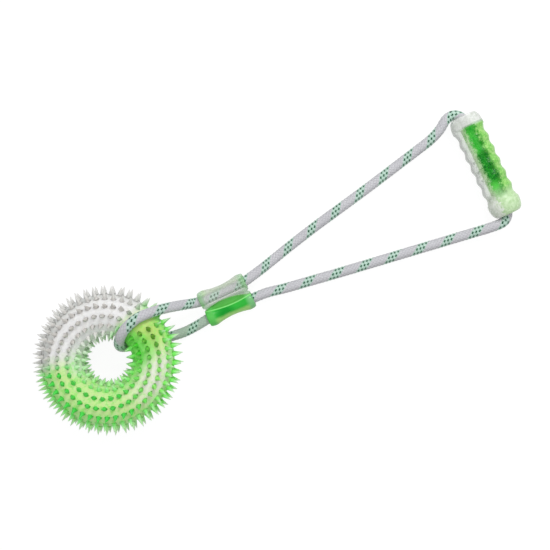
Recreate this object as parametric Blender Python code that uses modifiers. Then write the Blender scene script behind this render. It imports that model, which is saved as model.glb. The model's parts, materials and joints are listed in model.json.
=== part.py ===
"""Ring tug toy: a hollow spiked rubber ring held in the loop of a braided rope, whose two
strands run through a figure-eight sleeve to a rippled rubber handle at the other end.

The toy lies on the plane Z = 0 with its length along X, the ring at -X and the handle at +X.
"""

import math

import bmesh
import bpy
import numpy as np
from mathutils import Matrix, Vector

# Clearances
GAP = 0.0003
RUNNING_GAP = 0.0004
SEAT_GAP = 0.0006
SLEEVE_GAP = 0.0006
MERGE_DISTANCE = 0.00001

# Rope
ROPE_RADIUS = 0.00525
ROPE_BEVEL_RESOLUTION = 3
ROPE_LONGEST_STEP = 0.027
ROPE_SHARPEST_STEP = math.radians(12)
ROPE_CURVE_SAMPLES = 24
ROPE_END_SPACE = 0.0005

# Ring: a hollow torus moulded in two halves
RING_X = -0.1877
RING_MAJOR_RADIUS = 0.04575
RING_TUBE_RADIUS = 0.02075
RING_WALL = 0.0023
RING_STEPS = 36
RING_ARC_STEPS = 9
RING_CAVITY_ARC_STEPS = 6

# Spikes on the ring
SPIKE_ROWS_PER_HALF = 7
SPIKE_PITCH = 0.0084
SPIKE_OUTER_LENGTH = 0.0094
SPIKE_INNER_LENGTH = 0.0065
SPIKE_BASE_RADIUS = 0.0025
SPIKE_ROOT = 0.0012
SPIKE_SIDES = 5
SPIKE_CHECKS = 6

# Handle: a rippled grip over a core tube
HANDLE_X = 0.2432
HANDLE_Y = -0.0021
HANDLE_YAW = math.radians(-2.1)
HANDLE_LENGTH = 0.110
HANDLE_END_DEPTH = 0.0115
HANDLE_FLANGE_RADIUS = 0.0165
HANDLE_FLANGE_LAND = 0.003
HANDLE_BODY_RADIUS = 0.0148
HANDLE_RIPPLE = 0.0008
HANDLE_RIPPLES = 6
HANDLE_POINTS_PER_RIPPLE = 5
HANDLE_LIP_RADIUS = 0.005
HANDLE_LIP_STEPS = 4
HANDLE_STEPS = 18

CORE_WALL = 0.00125
CORE_LENGTH = 0.086

# Ferrule that joins the rope's two ends inside the handle
FERRULE_WALL = 0.0009
FERRULE_LENGTH = 0.024

# Sleeve: two spools side by side, with a web between them
SLEEVE_X = -0.0557
SLEEVE_Y = -0.0016
SLEEVE_YAW = math.radians(-3.0)
SLEEVE_ROLL = math.radians(15)
SLEEVE_LENGTH = 0.051
SLEEVE_WALL = 0.0015
SLEEVE_FLARE = 0.0025
SLEEVE_FLARE_AT = 0.0185
SLEEVE_END_ROUND = 0.00175
SLEEVE_SPOOL_SPACE = 0.0001
SLEEVE_WEB_THICKNESS = 0.0046
SLEEVE_MOUTH_FLARE = 0.00155
SLEEVE_MOUTH_CURVE = 1.6
SLEEVE_MOUTH_DEPTH = 0.006
SLEEVE_MOUTH_STEPS = 2
SLEEVE_STEPS = 16
SLEEVE_WAIST_STEPS = 6

# Steps in the rounded ends of the handle and the sleeve
END_ROUND_STEPS = 4

# The rope's route round the ring, as (angle round the tube, angle round the ring) in degrees
LOOP_TURN = (
    (48, 20.8),
    (70, 24.5),
    (95, 27.5),
    (120, 28.5),
    (145, 26.0),
    (170, 20.0),
    (195, 12.0),
    (220, 5.0),
    (245, 0.0),
    (257, -1.8),
    (269, -3.5),
)
# The strands from the ring to the sleeve, and from the sleeve to the handle
UPPER_RING_STRAND = (
    (-0.0868, 0.0111, 0.0172),
    (-0.0942, 0.0137, 0.0226),
    (-0.1050, 0.0173, 0.0322),
    (-0.1159, 0.0203, 0.0423),
)
LOWER_RING_STRAND = (
    (-0.1266, -0.0078, 0.00525),
    (-0.1096, -0.0108, 0.00525),
    (-0.0941, -0.0108, 0.0073),
)
UPPER_HANDLE_STRAND = (
    (0.2287, 0.0577, 0.0148),
    (0.2194, 0.0520, 0.0131),
    (0.2069, 0.0474, 0.0108),
    (0.1899, 0.0442, 0.0082),
    (0.1709, 0.0410, 0.0060),
    (0.1489, 0.0372, 0.00525),
    (0.1189, 0.0323, 0.00525),
    (0.0889, 0.0277, 0.00525),
    (0.0589, 0.0231, 0.00525),
    (0.0289, 0.0177, 0.00525),
    (0.0069, 0.0133, 0.0061),
    (-0.0091, 0.0101, 0.0094),
    (-0.0211, 0.0081, 0.0130),
)
LOWER_HANDLE_STRAND = (
    (-0.0151, -0.0143, 0.0086),
    (0.0029, -0.0187, 0.0059),
    (0.0289, -0.0241, 0.00525),
    (0.0589, -0.0303, 0.00525),
    (0.0889, -0.0362, 0.00525),
    (0.1189, -0.0420, 0.00525),
    (0.1489, -0.0478, 0.00525),
    (0.1709, -0.0521, 0.0059),
    (0.1889, -0.0555, 0.0079),
    (0.2039, -0.0584, 0.0106),
    (0.2159, -0.0607, 0.0133),
)
HOOK_TURN = (8, 35, 62, 88)
HOOK_DROP = 0.0010

# Colours
CLEAR_RUBBER = (0.78, 0.79, 0.76, 1)
GREEN_RUBBER = (0.16, 0.72, 0.20, 1)
PALE_GREEN_RUBBER = (0.55, 0.85, 0.45, 1)
LILAC_ROPE = (0.62, 0.58, 0.64, 1)
DARK_GREEN_FILM = (0.02, 0.30, 0.08, 1)
RUBBER_ROUGHNESS = 0.35
RUBBER_TRANSMISSION = 0.4
FILM_ROUGHNESS = 0.5
ROPE_ROUGHNESS = 0.85

# Sizes that follow from the ones above
ROPE_SEAT = RING_TUBE_RADIUS + SEAT_GAP + ROPE_RADIUS
FERRULE_BORE_RADIUS = ROPE_RADIUS + GAP
FERRULE_RADIUS = FERRULE_BORE_RADIUS + FERRULE_WALL
CORE_BORE_RADIUS = FERRULE_RADIUS + GAP
CORE_RADIUS = CORE_BORE_RADIUS + CORE_WALL
GRIP_BORE_RADIUS = CORE_RADIUS + GAP
GRIP_MOUTH_RADIUS = ROPE_RADIUS + 2 * RUNNING_GAP
SLEEVE_BORE_RADIUS = ROPE_RADIUS + SLEEVE_GAP
SLEEVE_WAIST_RADIUS = SLEEVE_BORE_RADIUS + SLEEVE_WALL
SLEEVE_FLARE_RADIUS = SLEEVE_WAIST_RADIUS + SLEEVE_FLARE
SLEEVE_END_RADIUS = SLEEVE_FLARE_RADIUS - SLEEVE_END_ROUND
SLEEVE_BORE_SPACING = 2 * SLEEVE_FLARE_RADIUS + SLEEVE_SPOOL_SPACE
SLEEVE_LIFT = SLEEVE_FLARE_RADIUS + SLEEVE_BORE_SPACING / 2 * math.sin(SLEEVE_ROLL)
HANDLE_LIFT = HANDLE_FLANGE_RADIUS * math.cos(math.pi / HANDLE_STEPS)
MOUTH_LIP_CENTRE = GRIP_MOUTH_RADIUS + HANDLE_LIP_RADIUS

RING_NEAR_Z = ROPE_RADIUS + ROPE_SEAT


def spike_length(angle):
    """The spikes are longest on the outside of the ring and shortest in its hole."""
    share = (1 + math.cos(angle)) / 2
    return SPIKE_INNER_LENGTH + (SPIKE_OUTER_LENGTH - SPIKE_INNER_LENGTH) * share


RING_FAR_Z = RING_TUBE_RADIUS + spike_length(-math.pi / 2)
RING_TILT = math.asin((RING_NEAR_Z - RING_FAR_Z) / (2 * RING_MAJOR_RADIUS))

RING_LIFT = (RING_NEAR_Z + RING_FAR_Z) / 2
RING_FRAME = Matrix.Translation((RING_X, 0, RING_LIFT)) @ Matrix.Rotation(-RING_TILT, 4, "Y")
HANDLE_FRAME = (
    Matrix.Translation((HANDLE_X, HANDLE_Y, HANDLE_LIFT))
    @ Matrix.Rotation(HANDLE_YAW, 4, "Z")
    @ Matrix.Rotation(-math.pi / 2, 4, "X")
)
SLEEVE_FRAME = (
    Matrix.Translation((SLEEVE_X, SLEEVE_Y, SLEEVE_LIFT))
    @ Matrix.Rotation(SLEEVE_YAW, 4, "Z")
    @ Matrix.Rotation(SLEEVE_ROLL, 4, "X")
)


def clear_scene():
    for obj in list(bpy.data.objects):
        bpy.data.objects.remove(obj, do_unlink=True)


def new_collection(name):
    collection = bpy.data.collections.new(name)
    bpy.context.scene.collection.children.link(collection)
    return collection


def make_material(name, colour, roughness, transmission=0.0):
    material = bpy.data.materials.new(name)
    material.use_nodes = True
    shader = material.node_tree.nodes["Principled BSDF"]
    shader.inputs["Base Color"].default_value = colour
    shader.inputs["Roughness"].default_value = roughness
    shader.inputs["Metallic"].default_value = 0.0
    shader.inputs["Transmission Weight"].default_value = transmission
    return material


def add_object(name, mesh, collection, frame=None, material=None):
    obj = bpy.data.objects.new(name, mesh)
    collection.objects.link(obj)
    obj.matrix_world = frame or Matrix.Identity(4)
    if material:
        obj.data.materials.append(material)
    return obj


def make_cutter(obj):
    obj.hide_render = True
    obj.display_type = "WIRE"
    return obj


def add_boolean(obj, other, operation):
    modifier = obj.modifiers.new(operation.title(), "BOOLEAN")
    modifier.operation = operation
    modifier.solver = "EXACT"
    modifier.object = other


def turned(name, profile, steps, collection, frame, material=None, closed=True):
    """A body turned about the frame's Z axis from (radius, height) points, outer side from the top down."""
    mesh = bpy.data.meshes.new(name)
    count = len(profile)
    edges = [(i, i + 1) for i in range(count - 1)]
    if closed:
        edges.append((count - 1, 0))
    mesh.from_pydata([(radius, 0, height) for radius, height in profile], edges, [])
    obj = add_object(name, mesh, collection, frame, material)
    modifier = obj.modifiers.new("Turn", "SCREW")
    modifier.axis = "Z"
    modifier.steps = steps
    modifier.render_steps = steps
    modifier.use_merge_vertices = True
    modifier.merge_threshold = MERGE_DISTANCE
    modifier.use_smooth_shade = True
    return obj


def arc(centre, radius, start, end, steps):
    """Points on an arc in a profile, from start to end in radians, both ends included."""
    angles = np.linspace(start, end, steps + 1)
    return [(centre[0] + radius * math.cos(a), centre[1] + radius * math.sin(a)) for a in angles]


def smooth_curve(points):
    """A centripetal Catmull-Rom curve through the route's points."""
    points = np.array(points, float)
    points = np.vstack([2 * points[0] - points[1], points, 2 * points[-1] - points[-2]])
    dense = []
    for i in range(1, len(points) - 2):
        p0, p1, p2, p3 = points[i - 1 : i + 3]
        t0 = 0.0
        t1 = t0 + math.sqrt(np.linalg.norm(p1 - p0))
        t2 = t1 + math.sqrt(np.linalg.norm(p2 - p1))
        t3 = t2 + math.sqrt(np.linalg.norm(p3 - p2))
        for t in np.linspace(t1, t2, ROPE_CURVE_SAMPLES, endpoint=False):
            a1 = p0 * (t1 - t) / (t1 - t0) + p1 * (t - t0) / (t1 - t0)
            a2 = p1 * (t2 - t) / (t2 - t1) + p2 * (t - t1) / (t2 - t1)
            a3 = p2 * (t3 - t) / (t3 - t2) + p3 * (t - t2) / (t3 - t2)
            b1 = a1 * (t2 - t) / (t2 - t0) + a2 * (t - t0) / (t2 - t0)
            b2 = a2 * (t3 - t) / (t3 - t1) + a3 * (t - t1) / (t3 - t1)
            dense.append(b1 * (t2 - t) / (t2 - t1) + b2 * (t - t1) / (t2 - t1))
    dense.append(points[-2])
    return np.array(dense)


def thin_out(dense):
    """The dense curve's points, kept close where it bends and far apart where it runs straight."""
    steps = np.diff(dense, axis=0)
    lengths = np.linalg.norm(steps, axis=1)
    headings = steps / lengths[:, None]
    kept = [dense[0]]
    travelled = 0.0
    turned_by = 0.0
    for i in range(1, len(dense) - 1):
        travelled += lengths[i - 1]
        turned_by += math.acos(min(1.0, float(headings[i - 1] @ headings[i])))
        if travelled > ROPE_LONGEST_STEP or turned_by > ROPE_SHARPEST_STEP:
            kept.append(dense[i])
            travelled = 0.0
            turned_by = 0.0
    kept.append(dense[-1])
    return kept


def torus_point(tube_angle, ring_angle, distance):
    """A point at a distance from the centre of the ring's tube, in the toy's frame."""
    radius = RING_MAJOR_RADIUS + distance * math.cos(tube_angle)
    local = Vector(
        (radius * math.cos(ring_angle), radius * math.sin(ring_angle), distance * math.sin(tube_angle))
    )
    return RING_FRAME @ local


def hook_points(side):
    """Where the rope leaves the handle's mouth and turns round its lip; side is 1 for the top, -1 for the bottom."""
    reach = HANDLE_LIP_RADIUS + RUNNING_GAP + ROPE_RADIUS
    points = []
    for degrees in HOOK_TURN:
        angle = math.radians(degrees)
        local = Vector(
            (
                reach * math.cos(angle) - MOUTH_LIP_CENTRE,
                HOOK_DROP * math.sin(angle),
                side * (HANDLE_LENGTH / 2 - HANDLE_LIP_RADIUS + reach * math.sin(angle)),
            )
        )
        points.append(HANDLE_FRAME @ local)
    return points


def bore_point(row, along):
    """A point on the axis of one of the sleeve's bores; row is 1 for the upper bore, -1 for the lower."""
    return SLEEVE_FRAME @ Vector((along, row * SLEEVE_BORE_SPACING / 2, 0))


def rope_route():
    """The route's points, from the ferrule out of the handle's top, round the ring and back in at its bottom."""
    mouth = SLEEVE_LENGTH / 2 - SLEEVE_MOUTH_DEPTH / 3
    route = [
        HANDLE_FRAME @ Vector((0, 0, ROPE_END_SPACE / 2)),
        HANDLE_FRAME @ Vector((0, 0, HANDLE_LENGTH / 4)),
        HANDLE_FRAME @ Vector((0, 0, CORE_LENGTH / 2)),
    ]
    route += hook_points(1)
    route += [Vector(p) for p in UPPER_HANDLE_STRAND]
    inner = SLEEVE_FLARE_AT / 2
    along_bore = (mouth, inner, -inner, -mouth)
    route += [bore_point(1, along) for along in along_bore]
    route += [Vector(p) for p in UPPER_RING_STRAND]
    route += [torus_point(math.radians(tube), math.radians(ring), ROPE_SEAT) for tube, ring in LOOP_TURN]
    route += [Vector(p) for p in LOWER_RING_STRAND]
    route += [bore_point(-1, -along) for along in along_bore]
    route += [Vector(p) for p in LOWER_HANDLE_STRAND]
    route += hook_points(-1)[::-1]
    route += [
        HANDLE_FRAME @ Vector((0, 0, -CORE_LENGTH / 2)),
        HANDLE_FRAME @ Vector((0, 0, -HANDLE_LENGTH / 4)),
        HANDLE_FRAME @ Vector((0, 0, -ROPE_END_SPACE / 2)),
    ]
    return [tuple(p) for p in route]


def make_rope(collection, dense):
    points = thin_out(dense)
    curve = bpy.data.curves.new("rope", "CURVE")
    curve.dimensions = "3D"
    curve.bevel_depth = ROPE_RADIUS
    curve.bevel_resolution = ROPE_BEVEL_RESOLUTION
    curve.use_fill_caps = True
    spline = curve.splines.new("POLY")
    spline.points.add(len(points) - 1)
    for target, point in zip(spline.points, points):
        target.co = (*point, 1)
    material = make_material("rope_lilac", LILAC_ROPE, ROPE_ROUGHNESS)
    return add_object("rope", curve, collection, None, material)


def half_shell(name, side, collection, material):
    """One moulded half of the hollow ring; side is 1 for the upper half and -1 for the lower."""
    outer = arc((RING_MAJOR_RADIUS, 0), RING_TUBE_RADIUS, math.pi, 0, RING_ARC_STEPS)
    cavity = arc((RING_MAJOR_RADIUS, 0), RING_TUBE_RADIUS - RING_WALL, 0, math.pi, RING_CAVITY_ARC_STEPS)
    profile = [(radius, side * (height + GAP / 2)) for radius, height in outer + cavity]
    if side < 0:
        profile.reverse()
    return turned(name, profile, RING_STEPS, collection, RING_FRAME, material)


def spike_places(side, rope_path):
    """Tube angle and ring angle of each spike on one half, leaving out those that lie flat under the rope."""
    row_step = math.pi / SPIKE_ROWS_PER_HALF
    places = []
    for row in range(SPIKE_ROWS_PER_HALF):
        tube_angle = side * row_step * (row + 0.5)
        girth = math.tau * (RING_MAJOR_RADIUS + RING_TUBE_RADIUS * math.cos(tube_angle))
        count = round(girth / SPIKE_PITCH)
        for k in range(count):
            ring_angle = math.tau * k / count
            if not under_rope(tube_angle, ring_angle, rope_path):
                places.append((tube_angle, ring_angle))
    return places


def under_rope(tube_angle, ring_angle, rope_path):
    length = spike_length(tube_angle)
    for share in np.linspace(0, 1, SPIKE_CHECKS):
        point = np.array(torus_point(tube_angle, ring_angle, RING_TUBE_RADIUS + share * length))
        room = ROPE_RADIUS + SEAT_GAP + SPIKE_BASE_RADIUS * (1 - share)
        if np.linalg.norm(rope_path - point, axis=1).min() < room:
            return True
    return False


def spikes(name, places, collection):
    """All the spikes of one half: cones that stand square on the tube, rooted in its wall."""
    mesh = bpy.data.meshes.new(name)
    bm = bmesh.new()
    for tube_angle, ring_angle in places:
        length = spike_length(tube_angle)
        depth = length + SPIKE_ROOT
        root = RING_TUBE_RADIUS - SPIKE_ROOT
        stand = (
            Matrix.Rotation(ring_angle, 4, "Z")
            @ Matrix.Translation((RING_MAJOR_RADIUS, 0, 0))
            @ Matrix.Rotation(math.pi / 2 - tube_angle, 4, "Y")
            @ Matrix.Translation((0, 0, root + depth / 2))
        )
        bmesh.ops.create_cone(
            bm,
            cap_ends=True,
            segments=SPIKE_SIDES,
            radius1=SPIKE_BASE_RADIUS * depth / length,
            radius2=0,
            depth=depth,
            matrix=stand,
        )
    bm.to_mesh(mesh)
    bm.free()
    return make_cutter(add_object(name, mesh, collection, RING_FRAME))


def make_ring(collection, helpers, rope_path):
    halves = (("ring_upper_shell", 1, CLEAR_RUBBER), ("ring_lower_shell", -1, GREEN_RUBBER))
    for name, side, colour in halves:
        material = make_material(name + "_rubber", colour, RUBBER_ROUGHNESS, RUBBER_TRANSMISSION)
        shell = half_shell(name, side, collection, material)
        cones = spikes(name + "_spikes", spike_places(side, rope_path), helpers)
        add_boolean(shell, cones, "UNION")


def end_round(inner, outer, start, depth):
    """A rounded end in a profile: a quarter of an ellipse from its top, at the inner radius, to the outer one."""
    angles = np.linspace(0, math.pi / 2, END_ROUND_STEPS + 1)
    return [(inner + (outer - inner) * math.sin(a), start + depth * math.cos(a)) for a in angles]


def mirrored(profile):
    """The same points at the other end of a profile that is alike above and below."""
    return [(radius, -height) for radius, height in reversed(profile)]


def grip_profile():
    """The grip's section: rippled outside between two flanges, with rounded lips at its open ends."""
    half = HANDLE_LENGTH / 2
    flange_at = half - HANDLE_END_DEPTH
    top_round = end_round(MOUTH_LIP_CENTRE, HANDLE_FLANGE_RADIUS, flange_at, HANDLE_END_DEPTH)
    lip_at = (MOUTH_LIP_CENTRE, half - HANDLE_LIP_RADIUS)
    top_lip = arc(lip_at, HANDLE_LIP_RADIUS, math.pi, math.pi / 2, HANDLE_LIP_STEPS)
    ripple_span = 2 * (flange_at - HANDLE_FLANGE_LAND)
    count = HANDLE_RIPPLES * HANDLE_POINTS_PER_RIPPLE
    ripples = [(HANDLE_FLANGE_RADIUS, flange_at - HANDLE_FLANGE_LAND)]
    for i in range(1, count):
        height = ripple_span * (0.5 - i / count)
        wave = math.cos(math.tau * i / HANDLE_POINTS_PER_RIPPLE)
        ripples.append((HANDLE_BODY_RADIUS + HANDLE_RIPPLE * wave, height))
    ripples.append((HANDLE_FLANGE_RADIUS, HANDLE_FLANGE_LAND - flange_at))
    core_half = CORE_LENGTH / 2 + GAP
    bore = [
        (GRIP_MOUTH_RADIUS, -core_half),
        (GRIP_BORE_RADIUS, -core_half),
        (GRIP_BORE_RADIUS, core_half),
        (GRIP_MOUTH_RADIUS, core_half),
    ]
    return top_round + ripples + mirrored(top_round) + mirrored(top_lip)[1:] + bore + top_lip[:-1]


def tube_profile(outer, bore, length):
    half = length / 2
    return [(outer, half), (outer, -half), (bore, -half), (bore, half)]


def make_handle(collection):
    step = math.tau / HANDLE_STEPS
    facet_down = HANDLE_FRAME @ Matrix.Rotation(math.pi / 2 % step - step / 2, 4, "Z")
    turned(
        "handle_grip",
        grip_profile(),
        HANDLE_STEPS,
        collection,
        facet_down,
        make_material("handle_rubber", PALE_GREEN_RUBBER, RUBBER_ROUGHNESS, RUBBER_TRANSMISSION),
    )
    turned(
        "handle_core_tube",
        tube_profile(CORE_RADIUS, CORE_BORE_RADIUS, CORE_LENGTH),
        HANDLE_STEPS,
        collection,
        HANDLE_FRAME,
        make_material("core_green", GREEN_RUBBER, RUBBER_ROUGHNESS, RUBBER_TRANSMISSION),
    )
    turned(
        "rope_ferrule",
        tube_profile(FERRULE_RADIUS, FERRULE_BORE_RADIUS, FERRULE_LENGTH),
        HANDLE_STEPS,
        collection,
        HANDLE_FRAME,
        make_material("ferrule_green", DARK_GREEN_FILM, FILM_ROUGHNESS),
    )


def spool_profile():
    """One spool of the sleeve: a slim waist that flares to rounded ends."""
    half = SLEEVE_LENGTH / 2
    waist = []
    for height in np.linspace(SLEEVE_FLARE_AT, -SLEEVE_FLARE_AT, SLEEVE_WAIST_STEPS + 1):
        share = (height / SLEEVE_FLARE_AT) ** 2
        waist.append((SLEEVE_WAIST_RADIUS + SLEEVE_FLARE * share, float(height)))
    end_depth = half - SLEEVE_FLARE_AT
    near_round = end_round(SLEEVE_END_RADIUS, SLEEVE_FLARE_RADIUS, SLEEVE_FLARE_AT, end_depth)[:-1]
    return [(0, half)] + near_round + waist + mirrored(near_round) + [(0, -half)]


def bore_profile():
    """What a bore takes out of the sleeve: a straight hole that widens at both mouths."""
    mouth = SLEEVE_LENGTH / 2
    past = mouth + SLEEVE_MOUTH_DEPTH
    straight = mouth - SLEEVE_MOUTH_DEPTH
    half = [(0, past), (SLEEVE_BORE_RADIUS + SLEEVE_MOUTH_FLARE, past)]
    for share in np.linspace(1, 0, SLEEVE_MOUTH_STEPS + 1):
        radius = SLEEVE_BORE_RADIUS + SLEEVE_MOUTH_FLARE * share**SLEEVE_MOUTH_CURVE
        half.append((radius, straight + SLEEVE_MOUTH_DEPTH * share))
    return half + mirrored(half)


def make_sleeve(collection, helpers):
    material = make_material("sleeve_rubber", PALE_GREEN_RUBBER, RUBBER_ROUGHNESS, RUBBER_TRANSMISSION)
    along_x = Matrix.Rotation(math.pi / 2, 4, "Y")
    spools = []
    for name, target, row in (("sleeve", collection, 1), ("sleeve_lower_spool", helpers, -1)):
        frame = SLEEVE_FRAME @ Matrix.Translation((0, row * SLEEVE_BORE_SPACING / 2, 0)) @ along_x
        spools.append(turned(name, spool_profile(), SLEEVE_STEPS, target, frame, material, closed=False))
    sleeve, lower_spool = spools
    web_mesh = bpy.data.meshes.new("sleeve_web")
    bm = bmesh.new()
    size = (2 * SLEEVE_FLARE_AT, SLEEVE_BORE_SPACING, SLEEVE_WEB_THICKNESS)
    bmesh.ops.create_cube(bm, size=1, matrix=Matrix.Diagonal((*size, 1)))
    bm.to_mesh(web_mesh)
    bm.free()
    web = add_object("sleeve_web", web_mesh, helpers, SLEEVE_FRAME)
    for helper in (lower_spool, web):
        add_boolean(sleeve, make_cutter(helper), "UNION")
    for row in (1, -1):
        frame = SLEEVE_FRAME @ Matrix.Translation((0, row * SLEEVE_BORE_SPACING / 2, 0)) @ along_x
        bore = turned("sleeve_bore", bore_profile(), SLEEVE_STEPS, helpers, frame, closed=False)
        add_boolean(sleeve, make_cutter(bore), "DIFFERENCE")


def main():
    clear_scene()
    toy = new_collection("ring_tug_toy")
    helpers = new_collection("helpers")
    helpers.hide_render = True
    rope_path = smooth_curve(rope_route())
    make_rope(toy, rope_path)
    make_ring(toy, helpers, rope_path)
    make_handle(toy)
    make_sleeve(toy, helpers)


main()
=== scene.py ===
"""The looks of the ring tug toy: a translucent spiked ring in the loop of a braided rope, the
sleeve that gathers the two strands, and the rippled handle. Metres, +Z up, in the frame's axes.
"""

import json
import math

import bmesh
import bpy
import numpy as np
from mathutils import Matrix, Vector
from mathutils.geometry import delaunay_2d_cdt


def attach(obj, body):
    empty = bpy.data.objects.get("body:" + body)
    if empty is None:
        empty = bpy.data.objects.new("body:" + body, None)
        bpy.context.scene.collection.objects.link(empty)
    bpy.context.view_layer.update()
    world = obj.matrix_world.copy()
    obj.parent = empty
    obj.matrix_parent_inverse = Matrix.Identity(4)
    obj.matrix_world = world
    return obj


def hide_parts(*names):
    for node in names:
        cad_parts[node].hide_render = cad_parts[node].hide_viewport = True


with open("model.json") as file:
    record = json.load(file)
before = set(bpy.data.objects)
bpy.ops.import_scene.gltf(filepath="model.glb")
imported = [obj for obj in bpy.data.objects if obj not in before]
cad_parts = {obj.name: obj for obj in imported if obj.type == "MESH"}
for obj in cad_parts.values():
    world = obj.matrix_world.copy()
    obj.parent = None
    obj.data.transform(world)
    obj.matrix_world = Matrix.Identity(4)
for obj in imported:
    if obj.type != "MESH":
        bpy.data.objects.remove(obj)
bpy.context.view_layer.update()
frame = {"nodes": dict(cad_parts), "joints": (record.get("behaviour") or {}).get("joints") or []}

# Camera: the photograph is taken from straight above, turned so that the toy runs up to the right
PHOTO_PIXELS = 550
FOCAL_PIXELS = 808
SENSOR_MM = 36.0
CAMERA_PLACE = (0.0003, -0.0019, 0.8425)
CAMERA_TURN = math.radians(-27.6)

# How bright the sky lights the toy, from the horizon to overhead
SKY_AT_HORIZON = 0.16
SKY_OVERHEAD = 0.88
# Lamps that aim at the origin, as (name, place, size, power)
LAMPS = (
    ("key", (0.70, 0.62, 1.15), 0.7, 10.5),
    ("fill", (-0.8, -0.3, 1.2), 1.0, 0.6),
)
FLOOR_RADIUS = 6.0
FLOOR_SIDES = 96
FLOOR_DROP = 0.0004
# The grey that throws light back up, and the glow and the shadow-taking grey that are seen instead
FLOOR_GREY = 0.62
FLOOR_GLOW = 0.93
FLOOR_SEEN_GREY = 0.12

# Points closer than the first are one point, edges shorter than the second are left out, and the
# skin's flat sheet is triangulated to the third
WELD = 1e-6
SLIVER = 1e-7
SHEET_TOLERANCE = 1e-9

# Clearances
GAP = 0.0003
RUNNING_GAP = 0.0004
SEAT_GAP = 0.0006
SLEEVE_GAP = 0.0006

# Rope
ROPE_RADIUS = 0.00525
ROPE_STEP = 0.0007
ROPE_SIDES = 64
ROPE_CURVE_SAMPLES = 24
ROPE_END_SPACE = 0.0005
BRAID_STRANDS = 8
BRAID_CROWN = 0.00032
BRAID_WEAVE = 0.00016
BRAID_YARNS = 5
# How far along the rope the tracer's middle strand crosses its top, each with the crossing's count
BRAID_CROSSINGS = (
    (0.0, -3.1),
    (0.0962, 0),
    (0.343, 8),
    (0.4023, 10),
    (0.4723, 12),
    (0.698, 19),
    (0.760, 21),
    (0.910, 26),
    (1.0030, 29),
)
# The stretch over which the rope rolls as it turns round the ring
ROLL_SPAN = (0.447, 0.557)
TRACER_STRANDS = 3
# How far off a braid cell's middle a dark dash fades out, across it and along it, in cells
DASH_WIDTH_FADE = (0.29, 0.21)
DASH_LENGTH_FADE = (0.48, 0.40)
# Where the lower strand is painted greenish and darker, as light bounced off the green ring. Each
# patch is (middle, radius where it ends, where it is full)
RING_BOUNCE_PATCH = ((-0.0990, -0.0140, 0.0120), 0.030, 0.014)

# Ring
RING_MAJOR_RADIUS = 0.04575
RING_TUBE_RADIUS = 0.02075
RING_WALL = 0.0023
RING_COLUMNS = 144
RING_CAVITY_ROWS = 16
# How far apart the skin's points are between spikes, and how many root radii they keep off one
RING_FILL_STEP = 0.0027
RING_FILL_SPACE = 1.15
SPIKE_ROWS_PER_HALF = 7
SPIKE_PITCH = 0.0084
SPIKE_OUTER_LENGTH = 0.0094
SPIKE_INNER_LENGTH = 0.0065
SPIKE_BASE_RADIUS = 0.0025
SPIKE_FLARE = 1.3
SPIKE_SIDES = 12
SPIKE_CHECKS = 6
# A spike's outline from root to tip, as (share of its length, share of its base radius)
SPIKE_OUTLINE = ((0.07, 0.97), (0.2, 0.86), (0.45, 0.63), (0.7, 0.40), (0.9, 0.20), (0.985, 0.10))
SPIKE_LEAN = 0.06
SPIKE_LENGTH_SPREAD = (-0.03, 0.02)
SPIKE_SEED = 7
# In the ring's own frame: the way that the painted light faces, where the rubber is painted palest
# and its sides get painted shade, as shares along +X and up, where the green sets in along Y, how
# that slants past a place along X, and patches of other tints
RING_LIGHT_FACING = (0.37, 0.93)
GREEN_EDGE = (0.035, 0.015)
GREEN_EDGE_SWAY = 0.010
GREEN_SLANT = 0.22
GREEN_SLANT_FROM = 0.015
CREAM_PATCH = ((0.044, -0.038, 0.018), 0.050, 0.008)
MINT_PATCH = ((-0.021, 0.014, 0.006), 0.027, 0.010)
OLIVE_PATCH = ((0.052, 0.006, 0.020), 0.034, 0.004)
DEEP_PATCH = ((0.0345, -0.0048, 0.014), 0.026, 0.006)

# Handle
HANDLE_LENGTH = 0.110
HANDLE_END_DEPTH = 0.0115
HANDLE_FLANGE_RADIUS = 0.0165
HANDLE_FLANGE_LAND = 0.003
HANDLE_BODY_RADIUS = 0.0148
HANDLE_RIPPLE = 0.0008
HANDLE_RIPPLES = 6
HANDLE_LIP_RADIUS = 0.005
HANDLE_SIDES = 96
HANDLE_ROUND_STEPS = 12
HANDLE_LIP_STEPS = 10
RIPPLE_POINTS = 14
CORE_WALL = 0.00125
CORE_LENGTH = 0.086
FERRULE_WALL = 0.0009
# Where the handle's colours set in along it, then across it, and how far the fine noise shifts them
CAP_FADE = (0.0405, 0.0450)
FOOT_FADE = (-0.0240, -0.0390)
CORE_LIGHTER_FADE = (-0.014, -0.026)
CORE_FOOT_FADE = (-0.022, -0.035)
DARK_ALONG_FADES = ((-0.021, -0.014), (0.019, 0.010))
DARK_ACROSS_FADES = ((-0.0085, -0.0060), (0.0068, 0.0040))
TINT_FADE = (-0.0150, -0.0070)
BAND_FADE = (-0.0092, -0.0062)
FLANK_FADE = (-0.0018, 0.0058)
CORE_BAND_FADE = (-0.0086, -0.0036)
CRINKLE_SHIFT = 0.014

# Sleeve
SLEEVE_CENTRE = (-0.0557, -0.0016, 0.01241)
SLEEVE_YAW = math.radians(-3.0)
SLEEVE_ROLL = math.radians(15)
SLEEVE_LENGTH = 0.051
SLEEVE_WALL = 0.0015
SLEEVE_FLARE = 0.0025
SLEEVE_FLARE_AT = 0.0185
SLEEVE_END_ROUND = 0.00175
SLEEVE_SPOOL_SPACE = 0.0001
SLEEVE_WEB_THICKNESS = 0.0046
SLEEVE_MOUTH_FLARE = 0.00155
SLEEVE_MOUTH_CURVE = 1.6
SLEEVE_MOUTH_DEPTH = 0.006
SLEEVE_SIDES = 64
SLEEVE_WAIST_POINTS = 24
SLEEVE_ROUND_STEPS = 10
SLEEVE_MOUTH_POINTS = 8
SLEEVE_VOXEL = 0.0006
SLEEVE_SOFTENINGS = 6
SLEEVE_DEEP_PATCH = ((-0.006, -0.010, 0.006), 0.014, 0.003)
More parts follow.
